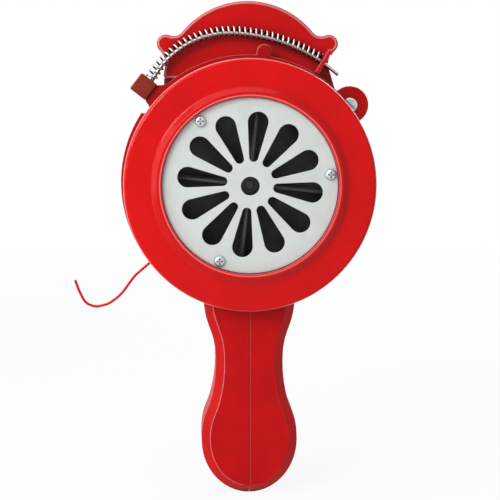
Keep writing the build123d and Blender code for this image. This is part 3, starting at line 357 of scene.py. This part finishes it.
def casting(name, colour, rough=0.5):
    """Cast metal with a pebbly skin, and painted shade that darkens its hollows."""
    finish = Finish(name)
    skin = finish.noise(0.0012, 3.0)
    patch = finish.noise(0.015, 3.0)
    cast = finish.mix(shade(colour, 0.7), shade(colour, 1.15), patch.step(0.3, 0.7))
    # Hollows are painted darker, as shade.
    finish.set(base_color=finish.mix(shade(colour, 0.12), cast, finish.open_air(0.012)))
    finish.set(roughness=skin * 0.2 + rough, metallic=0.3)
    return finish.relief(skin, 0.00012, 0.0005).material


def toothed(name, colour, rough=0.34):
    """Cut steel or brass: hobbing lines across, a thin film of oil and dark smears."""
    finish = Finish(name)
    smear = finish.noise(0.008, 4.0)
    cut = finish.noise(0.0002, 1.0, finish.stretched(1, 0.1, 1))
    finish.set(base_color=finish.mix(shade(colour, 0.55), colour, smear.step(0.3, 0.6)))
    finish.set(roughness=smear * 0.2 + cut * 0.1 + rough, metallic=1.0)
    return finish.relief(cut, 0.00002, 0.0002).material


def fibre(name, colour):
    """Matt pressed fibre: dull, with flecks, darker corners and a slightly rubbed face."""
    finish = Finish(name)
    fleck = finish.noise(0.0009, 3.0)
    rubbed = finish.noise(0.006, 3.0)
    base = finish.mix(shade(colour, 0.75), shade(colour, 1.15), fleck.step(0.3, 0.7))
    face = finish.mix(base, shade(colour, 1.4), rubbed.step(0.5, 0.8) * 0.4)
    finish.set(base_color=finish.mix(face, shade(colour, 0.55), finish.sharp_edges(0.0012) * 0.6))
    finish.set(roughness=0.75 - rubbed * 0.15, specular_ior_level=0.25)
    return finish.relief(fleck, 0.0001, 0.0008).material


# ======== what a user would change
class SirenColours(bpy.types.PropertyGroup):
    flange: FloatVectorProperty(
        name="Flange", description="Paint of the front flange", subtype="COLOR", size=3,
        default=(0.67, 0.002, 0.003), min=0, max=1)
    body: FloatVectorProperty(
        name="Body", description="Paint of plate, housing, ring and crank arm", subtype="COLOR", size=3,
        default=(0.63, 0.001, 0.002), min=0, max=1)
    grip: FloatVectorProperty(
        name="Grip", description="Plastic of the hand grip", subtype="COLOR", size=3,
        default=(0.54, 0.002, 0.003), min=0, max=1)
    grille: FloatVectorProperty(
        name="Grille", description="Satin metal of the intake grille", subtype="COLOR", size=3,
        default=(0.64, 0.68, 0.66), min=0, max=1)
    rotor: FloatVectorProperty(
        name="Rotor", description="Dark casting behind the grille", subtype="COLOR", size=3,
        default=(0.10, 0.12, 0.11), min=0, max=1)
    block: FloatVectorProperty(
        name="Block", description="Fibre of the thumb block", subtype="COLOR", size=3,
        default=(0.24, 0.022, 0.010), min=0, max=1)
    knob: FloatVectorProperty(
        name="Knob", description="Plastic of the crank's knob", subtype="COLOR", size=3,
        default=(0.012, 0.012, 0.013), min=0, max=1)


class SirenSpring(bpy.types.PropertyGroup):
    curls: IntProperty(name="Curls", description="Turns of the return spring", default=35, min=3, max=100)
    wire: FloatProperty(
        name="Wire", description="Radius of the spring's wire", default=0.00055, min=0.0001, unit="LENGTH")
    radius: FloatProperty(
        name="Radius", description="From the spring's middle line to the wire's", default=0.0032, min=0.001,
        unit="LENGTH")


class SirenLight(bpy.types.PropertyGroup):
    key: FloatProperty(name="Key", description="Power of the large lamp at the upper left", default=9.5, min=0)
    side: FloatProperty(name="Side", description="Power of the tall lamp at the left", default=6.0, min=0)
    top: FloatProperty(name="Top", description="Power of the wide lamp overhead", default=6.0, min=0)
    back: FloatProperty(name="Back", description="Power of the lamp behind", default=6.0, min=0)
    sky: FloatProperty(name="Sky", description="Strength of the even light all round", default=0.17, min=0)


GROUPS = {"siren_colours": SirenColours, "siren_spring": SirenSpring, "siren_light": SirenLight}


# ======== operators
class PaintParts(bpy.types.Operator):
    """Give every piece of the frame its finish"""
    bl_idname = "siren.paint_parts"
    bl_label = "Paint the parts"

    def execute(self, context):
        colours = context.scene.siren_colours
        finishes = {
            "red_enamel": enamel("red_enamel", colours.flange, bead=(BEAD_CREST, BEAD_HOLLOW)),
            "dark_red_enamel": enamel("dark_red_enamel", colours.body, 0.3),
            # The housing and ring take a darker copy of the body's paint, as painted shade.
            "shaded_red_enamel": enamel("shaded_red_enamel", shade(colours.body, 0.7), 0.3),
            # The lip is painted paler than the body, as a highlight.
            "highlit_lip_enamel": enamel("highlit_lip_enamel", paler(colours.body, 0.2)),
            # The crank arm takes a lighter copy of the flange's paint, as painted light.
            "lit_arm_enamel": enamel("lit_arm_enamel", shade(colours.flange, 1.35), 0.3),
            # The two grip halves share one plastic and differ only in painted highlight and shade at their
            # corners: the left half's rim pale and its joint dark, the right half's joint pale.
            "left_grip": moulded("left_grip", colours.grip, rim=paler(colours.grip, 0.6),
                                 joint=shade(colours.grip, 0.12)),
            "right_grip": moulded("right_grip", colours.grip, rim=colours.grip,
                                  joint=paler(colours.grip, 0.12)),
            "satin_sheet": satin("satin_sheet", colours.grille),
            "zinc_plate": plated("zinc_plate", (0.60, 0.66, 0.68)),
            "black_oxide": plated("black_oxide", (0.06, 0.07, 0.064), 0.4),
            "bright_nickel": plated("bright_nickel", (0.55, 0.55, 0.53), 0.12, 0.004),
            # Behind the spring's middle line its wire is painted dark, as shade.
            "spring_nickel": plated("spring_nickel", (0.62, 0.62, 0.60), 0.12, 0.003,
                                    FLANGE_Y + SPRING_DEPTH * MM),
            "ground_steel": plated("ground_steel", (0.50, 0.51, 0.52), 0.2),
            "dark_casting": casting("dark_casting", colours.rotor),
            # The grip's core is painted near black, as shade, for it sits inside the grip.
            "shaded_core_casting": casting("shaded_core_casting", (0.05, 0.05, 0.053)),
            "hobbed_steel": toothed("hobbed_steel", (0.25, 0.25, 0.26)),
            "turned_brass": toothed("turned_brass", (0.62, 0.42, 0.16)),
            "brown_fibre": fibre("brown_fibre", colours.block),
            "black_plastic": moulded("black_plastic", colours.knob, 0.38),
        }
        wear = {
            "red_enamel": ["front_flange", "stator_drum"],
            "dark_red_enamel": ["front_plate", "gearbox_cover", "shutter_sleeve", "wire_hook"],
            "shaded_red_enamel": ["gearbox_housing", "shutter_ring"],
            "black_oxide": ["rotor_nut", "rotor_washer", "rotor_shaft"],
            "lit_arm_enamel": ["crank_arm"],
            "left_grip": ["grip_left"],
            "right_grip": ["grip_right"],
            "satin_sheet": ["intake_grille"],
            "spring_nickel": ["return_spring"],
            "bright_nickel": ["guide_rod", "bearing_balls"],
            "ground_steel": ["crank_shaft", "idler_pin", "gear_pin", "bearing_outer_rings",
                             "bearing_inner_rings"],
            "dark_casting": ["rotor"],
            "shaded_core_casting": ["handle_core"],
            "hobbed_steel": ["crank_gear", "idler_gear", "rotor_pinion"],
            "turned_brass": ["idler_pinion", "crank_bushes"],
            "brown_fibre": ["thumb_block"],
            "black_plastic": ["crank_knob"],
        }
        named = {node: name for name, nodes in wear.items() for node in nodes}
        for node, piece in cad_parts.items():
            piece.data.materials.clear()
            piece.data.materials.append(finishes[named.get(node, "zinc_plate")])
        return {"FINISHED"}


def bend(centre, radius, start, end, steps):
    """Points of an arc in x and z; angles run clockwise from straight up.

    point = centre + radius * (sin a, cos a), with a going evenly from start to end, in degrees.
    """
    a = np.radians(np.linspace(start, end, steps))
    return np.asarray(centre) + radius * np.stack([np.sin(a), np.cos(a)], -1)


def bearing(from_point, to_point):
    """The clockwise angle from straight up, in degrees, at which one point sees another."""
    return np.degrees(np.arctan2(to_point[0] - from_point[0], to_point[1] - from_point[1]))


def round_arc(centre, radius, first, last, way, steps):
    """An arc from where the centre sees one point to where it sees another; way is 1 for clockwise, or -1."""
    start, end = bearing(centre, first), bearing(centre, last)
    return bend(centre, radius, start, start + way * ((way * (end - start)) % 360), steps)


def hollow_centre(c1, r1, c2, r2, radius, side):
    """Centre of the circle of the given radius that touches two circles from outside, at one side of them.

    It is r1 + radius from the first centre and r2 + radius from the second: the cosine rule gives its angle.
    """
    c1, c2 = np.asarray(c1, float), np.asarray(c2, float)
    a, b, d = r1 + radius, r2 + radius, np.hypot(*(c2 - c1))
    lean = np.degrees(np.arccos((a * a + d * d - b * b) / (2 * a * d)))
    return bend(c1, a, bearing(c1, c2) + side * lean, 0, 2)[0]


# the front plate's outline, as the frame has it: a round body with an ear on each side
BODY_AT, BODY_R = (0.0, 60.3), 53.8
EAR_X, EAR_Z, EAR_R = 51.7, 87.3, 5.8
EAR_TOP_HOLLOW, EAR_LOW_HOLLOW = 7.0, 12.0
PLATE_FLOOR_Z, PLATE_CORNER_R, PLATE_Y = 65.0, 2.7, 40.0

# the lip: how far in from that outline its middle runs, and its half width and height
LIP_INSET, LIP_HALF_WIDTH, LIP_HEIGHT = 1.4, 0.6, 0.4
LIP_START_X, LIP_LAST_TURN = -36.0, 170


def lip_path(inset):
    """Points of the plate's edge, moved inwards, from its floor at the left over the top to the right ear."""
    body_r, ear_r = BODY_R - inset, EAR_R - inset
    corner_r = PLATE_CORNER_R - inset
    corner_z = PLATE_FLOOR_Z + PLATE_CORNER_R
    corner = (-np.sqrt((BODY_R - PLATE_CORNER_R) ** 2 - (corner_z - BODY_AT[1]) ** 2), corner_z)
    left, right = (-EAR_X, EAR_Z), (EAR_X, EAR_Z)
    low = hollow_centre(BODY_AT, body_r, left, ear_r, EAR_LOW_HOLLOW + inset, -1)
    top = hollow_centre(BODY_AT, body_r, left, ear_r, EAR_TOP_HOLLOW + inset, 1)
    over = (-top[0], top[1])
    below = (corner[0], corner[1] - 1)
    beyond = 2 * np.array(corner) - BODY_AT
    floor = np.stack([np.linspace(LIP_START_X, corner[0], 12)[:-1], np.full(11, corner_z - corner_r)], -1)
    return np.concatenate([
        floor,
        round_arc(corner, corner_r, below, beyond, 1, 12),
        round_arc(BODY_AT, body_r, corner, low, 1, 12)[1:],
        round_arc(low, EAR_LOW_HOLLOW + inset, BODY_AT, left, -1, 16)[1:],
        round_arc(left, ear_r, low, top, 1, 40)[1:],
        round_arc(top, EAR_TOP_HOLLOW + inset, left, BODY_AT, -1, 16)[1:],
        round_arc(BODY_AT, body_r, top, over, 1, 90)[1:],
        round_arc(over, EAR_TOP_HOLLOW + inset, BODY_AT, right, -1, 16)[1:],
        bend(right, ear_r, bearing(right, over), LIP_LAST_TURN, 40)[1:],
    ])


def lip_surface(inset, half_width, height):
    """Rings of points of a flat oval bead along the plate's edge, sunk to its middle in the plate's face.

    ring(v) = path + side * half_width * cos(v), depth = face - height * sin(v); both shrink to 0 at the ends.
    """
    path = lip_path(inset)
    heading = np.gradient(path, axis=0)
    side = np.stack([heading[:, 1], -heading[:, 0]], -1)
    side /= np.linalg.norm(side, axis=1)[:, None]
    run = np.concatenate([[0], np.cumsum(np.linalg.norm(np.diff(path, axis=0), axis=1))])
    swell = np.sqrt(np.clip(np.minimum(run, run[-1] - run) / 2.0, 0.02, 1))[:, None]
    v = np.linspace(0, 2 * pi, 17)[:-1]
    across = path[:, None] + side[:, None] * (half_width * swell * np.cos(v))[..., None]
    return spot(across[..., 0], PLATE_Y - height * swell * np.sin(v), across[..., 1])


def spring_surface(curls, wire, coil, depth):
    """Rings of points round the coiled wire of the return spring.

    The middle line is two arcs that share a tangent: a tight one from the block and a wide one to the wall.
    With p the middle line, n outwards and b backwards, the wire's own line is
    c(s) = p + coil * (n * cos(q) + b * sin(q)), q = -2 pi * curls * s / length,
    and each ring is c + wire * (side * cos(v) + across * sin(v)), square to c's direction.
    """
    tight, wide = (-11.349, 38.124), (-12.894, -13.953)
    tight_r, wide_r, turn = 56.8, 108.9, radians(1.7)
    start, end = radians(-60.704), radians(32.653)
    first, second = tight_r * (turn - start), wide_r * (end - turn)
    length = first + second
    s = np.linspace(0, length, curls * 36 + 1)
    on_tight = s < first
    a = np.where(on_tight, start + s / tight_r, turn + (s - first) / wide_r)
    radius = np.where(on_tight, tight_r, wide_r)
    centre = np.where(on_tight[:, None], np.array(tight), np.array(wide))
    out = np.stack([np.sin(a), np.zeros_like(a), np.cos(a)], -1)
    line = np.stack([centre[:, 0], np.full_like(a, depth), centre[:, 1]], -1) + radius[:, None] * out
    back = np.array([0.0, 1.0, 0.0])
    q = (-2 * pi * curls * s / length)[:, None]
    wire_line = line + coil * (out * np.cos(q) + back * np.sin(q))
    heading = np.gradient(wire_line, axis=0)
    heading /= np.linalg.norm(heading, axis=1)[:, None]
    side = out * np.cos(q) + back * np.sin(q)
    side -= heading * np.sum(side * heading, 1)[:, None]
    side /= np.linalg.norm(side, axis=1)[:, None]
    across = np.cross(heading, side)
    v = np.linspace(0, 2 * pi, 14, endpoint=False)[None, :, None]
    rings = wire_line[:, None] + wire * (side[:, None] * np.cos(v) + across[:, None] * np.sin(v))
    return spot(rings[..., 0], rings[..., 1], rings[..., 2])


class MakePlateLip(bpy.types.Operator):
    """Run the rounded lip along the edge of the eared plate"""
    bl_idname = "siren.make_plate_lip"
    bl_label = "Make the plate's lip"

    def execute(self, context):
        verts, faces = capped_tube(lip_surface(LIP_INSET, LIP_HALF_WIDTH, LIP_HEIGHT))
        new_piece("plate_lip", verts, faces, "highlit_lip_enamel", "frame")
        return {"FINISHED"}


class MakeSpring(bpy.types.Operator):
    """Wind the return spring round its rod"""
    bl_idname = "siren.make_spring"
    bl_label = "Make the return spring"

    def execute(self, context):
        sizes = context.scene.siren_spring
        rings = spring_surface(sizes.curls, sizes.wire / MM, sizes.radius / MM, SPRING_DEPTH)
        verts, faces = capped_tube(rings)
        spring = new_piece("spring_coils", verts, faces, "spring_nickel")
        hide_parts("return_spring")
        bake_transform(spring)
        return {"FINISHED"}


class MakeStage(bpy.types.Operator):
    """Lay the floor, hang the lamps and set the camera"""
    bl_idname = "siren.make_stage"
    bl_label = "Make the stage"

    # the photograph's frame, in its own pixels: the rotor's centre and the point that level lines run to
    PHOTO_WIDTH = 500
    ROTOR_PX = (249.8, 184.9)
    EYE_PX = (186.3, 74.5)
    AIM_PX = (249.4, 248.6)
    METRES_PER_PX = 0.0006176
    DISTANCE = 0.9
    ZOOM = 1.003

    # the floor: a share of plain white near the siren, and all white further off, in metres
    FLOOR_REACH = 6.0
    WHITE_NEAR = 0.9
    SHADOW_REACH = 0.4
    WHITE_FROM = 1.5

    def execute(self, context):
        self.add_floor()
        self.add_sky(context)
        light = context.scene.siren_light
        self.add_lamp("key_lamp", (-0.7, -0.9, 0.75), (0.6, 0.6), light.key)
        self.add_lamp("left_lamp", (-1.05, -0.45, 0.3), (0.8, 1.1), light.side)
        self.add_lamp("top_lamp", (-0.2, -0.15, 1.1), (1.0, 1.0), light.top)
        self.add_lamp("right_lamp", (1.2, 0.1, 0.3), (0.4, 1.0), light.side * 0.25)
        self.add_lamp("back_lamp", (0.5, 1.0, 0.6), (0.7, 0.7), light.back)
        self.add_camera(context)
        return {"FINISHED"}

    def add_floor(self):
        low, reach = cad_box[0][2], self.FLOOR_REACH
        corners = np.array([(-1, -1, 0), (1, -1, 0), (1, 1, 0), (-1, 1, 0)]) * reach + (0, 0, low)
        mesh = bpy.data.meshes.new("floor")
        mesh.from_pydata(corners.tolist(), [], [(0, 1, 2, 3)])
        floor = bpy.data.objects.new("floor", mesh)
        bpy.context.scene.collection.objects.link(floor)
        finish = Finish("pale_floor")
        finish.set(base_color=(0.78, 0.78, 0.78, 1), roughness=0.9, specular_ior_level=0.1)
        seen = finish.node("ShaderNodeLightPath", output="Is Camera Ray")
        for way in ("Is Glossy Ray", "Is Transmission Ray"):
            seen = seen.math("MAXIMUM", seen, finish.node("ShaderNodeLightPath", output=way))
        glow = finish.node("ShaderNodeEmission", None, {"Color": (1, 1, 1, 1), "Strength": 1.0})
        base = Field(finish, finish.shader.outputs[0])
        away = finish.node("ShaderNodeVectorMath", {"operation": "LENGTH"}, {0: finish.place}, "Value")
        white = away.step(self.SHADOW_REACH, self.WHITE_FROM) * (1 - self.WHITE_NEAR) + self.WHITE_NEAR
        both = finish.node("ShaderNodeMixShader", None, {0: seen * white, 1: base, 2: glow})
        out = next(n for n in finish.tree.nodes if n.bl_idname == "ShaderNodeOutputMaterial")
        finish.feed(out.inputs["Surface"], both)
        mesh.materials.append(finish.material)

    def add_sky(self, context):
        world = bpy.data.worlds.new("studio")
        context.scene.world = world
        world.use_nodes = True
        tree = world.node_tree
        tree.nodes.clear()
        path = tree.nodes.new("ShaderNodeLightPath")
        even, white = tree.nodes.new("ShaderNodeBackground"), tree.nodes.new("ShaderNodeBackground")
        even.inputs["Color"].default_value = (0.96, 0.98, 1.0, 1)
        even.inputs["Strength"].default_value = context.scene.siren_light.sky
        white.inputs["Strength"].default_value = 1.0
        white.inputs["Color"].default_value = (1, 1, 1, 1)
        seen = path.outputs["Is Camera Ray"]
        for way in ("Is Glossy Ray", "Is Transmission Ray"):
            either = tree.nodes.new("ShaderNodeMath")
            either.operation = "MAXIMUM"
            tree.links.new(seen, either.inputs[0])
            tree.links.new(path.outputs[way], either.inputs[1])
            seen = either.outputs[0]
        mix, out = tree.nodes.new("ShaderNodeMixShader"), tree.nodes.new("ShaderNodeOutputWorld")
        tree.links.new(seen, mix.inputs[0])
        tree.links.new(even.outputs[0], mix.inputs[1])
        tree.links.new(white.outputs[0], mix.inputs[2])
        tree.links.new(mix.outputs[0], out.inputs["Surface"])

    def add_lamp(self, name, place, size, power):
        """A flat lamp, width by height, that looks at the siren's head."""
        data = bpy.data.lights.new(name, "AREA")
        data.shape = "RECTANGLE"
        data.energy = power
        data.size, data.size_y = size
        lamp = bpy.data.objects.new(name, data)
        bpy.context.scene.collection.objects.link(lamp)
        way = Vector((0.0, 0.0, ROTOR_Z)) - Vector(place)
        lamp.location = place
        lamp.rotation_euler = way.to_track_quat("-Z", "Y").to_euler()

    def add_camera(self, context):
        """A camera from the photograph's eye point, which looks at the middle of the photograph's frame."""
        data = bpy.data.cameras.new("camera")
        camera = bpy.data.objects.new("camera", data)
        context.scene.collection.objects.link(camera)
        eye = self.from_pixel(*self.EYE_PX)
        eye.y -= self.DISTANCE
        way = self.from_pixel(*self.AIM_PX) - eye
        data.sensor_width = 36.0
        data.lens = data.sensor_width * way.length / (self.PHOTO_WIDTH * self.METRES_PER_PX) * self.ZOOM
        camera.location = eye
        camera.rotation_euler = way.to_track_quat("-Z", "Y").to_euler()
        context.scene.camera = camera
        context.scene.view_settings.view_transform = "Standard"

    def from_pixel(self, x, y):
        """The point of the flange's face that a pixel of the photograph shows."""
        across, up = x - self.ROTOR_PX[0], self.ROTOR_PX[1] - y
        return Vector((across * self.METRES_PER_PX, FLANGE_Y, ROTOR_Z + up * self.METRES_PER_PX))


class SirenPanel(bpy.types.Panel):
    """Lists the siren's operators"""
    bl_idname = "SIREN_PT_panel"
    bl_label = "Hand crank siren"
    bl_space_type = "VIEW_3D"
    bl_region_type = "UI"
    bl_category = "Siren"

    def draw(self, context):
        for operator in OPERATORS:
            self.layout.operator(operator.bl_idname)


OPERATORS = (PaintParts, MakePlateLip, MakeSpring, MakeStage)
CLASSES = (*GROUPS.values(), *OPERATORS, SirenPanel)


def register():
    for cls in CLASSES:
        bpy.utils.register_class(cls)
    for name, group in GROUPS.items():
        setattr(bpy.types.Scene, name, PointerProperty(type=group))


def unregister():
    for name in GROUPS:
        delattr(bpy.types.Scene, name)
    for cls in reversed(CLASSES):
        bpy.utils.unregister_class(cls)


def main():
    register()
    bpy.ops.siren.paint_parts()
    bpy.ops.siren.make_plate_lip()
    bpy.ops.siren.make_spring()
    bpy.ops.siren.make_stage()


if __name__ == "__main__":
    main()
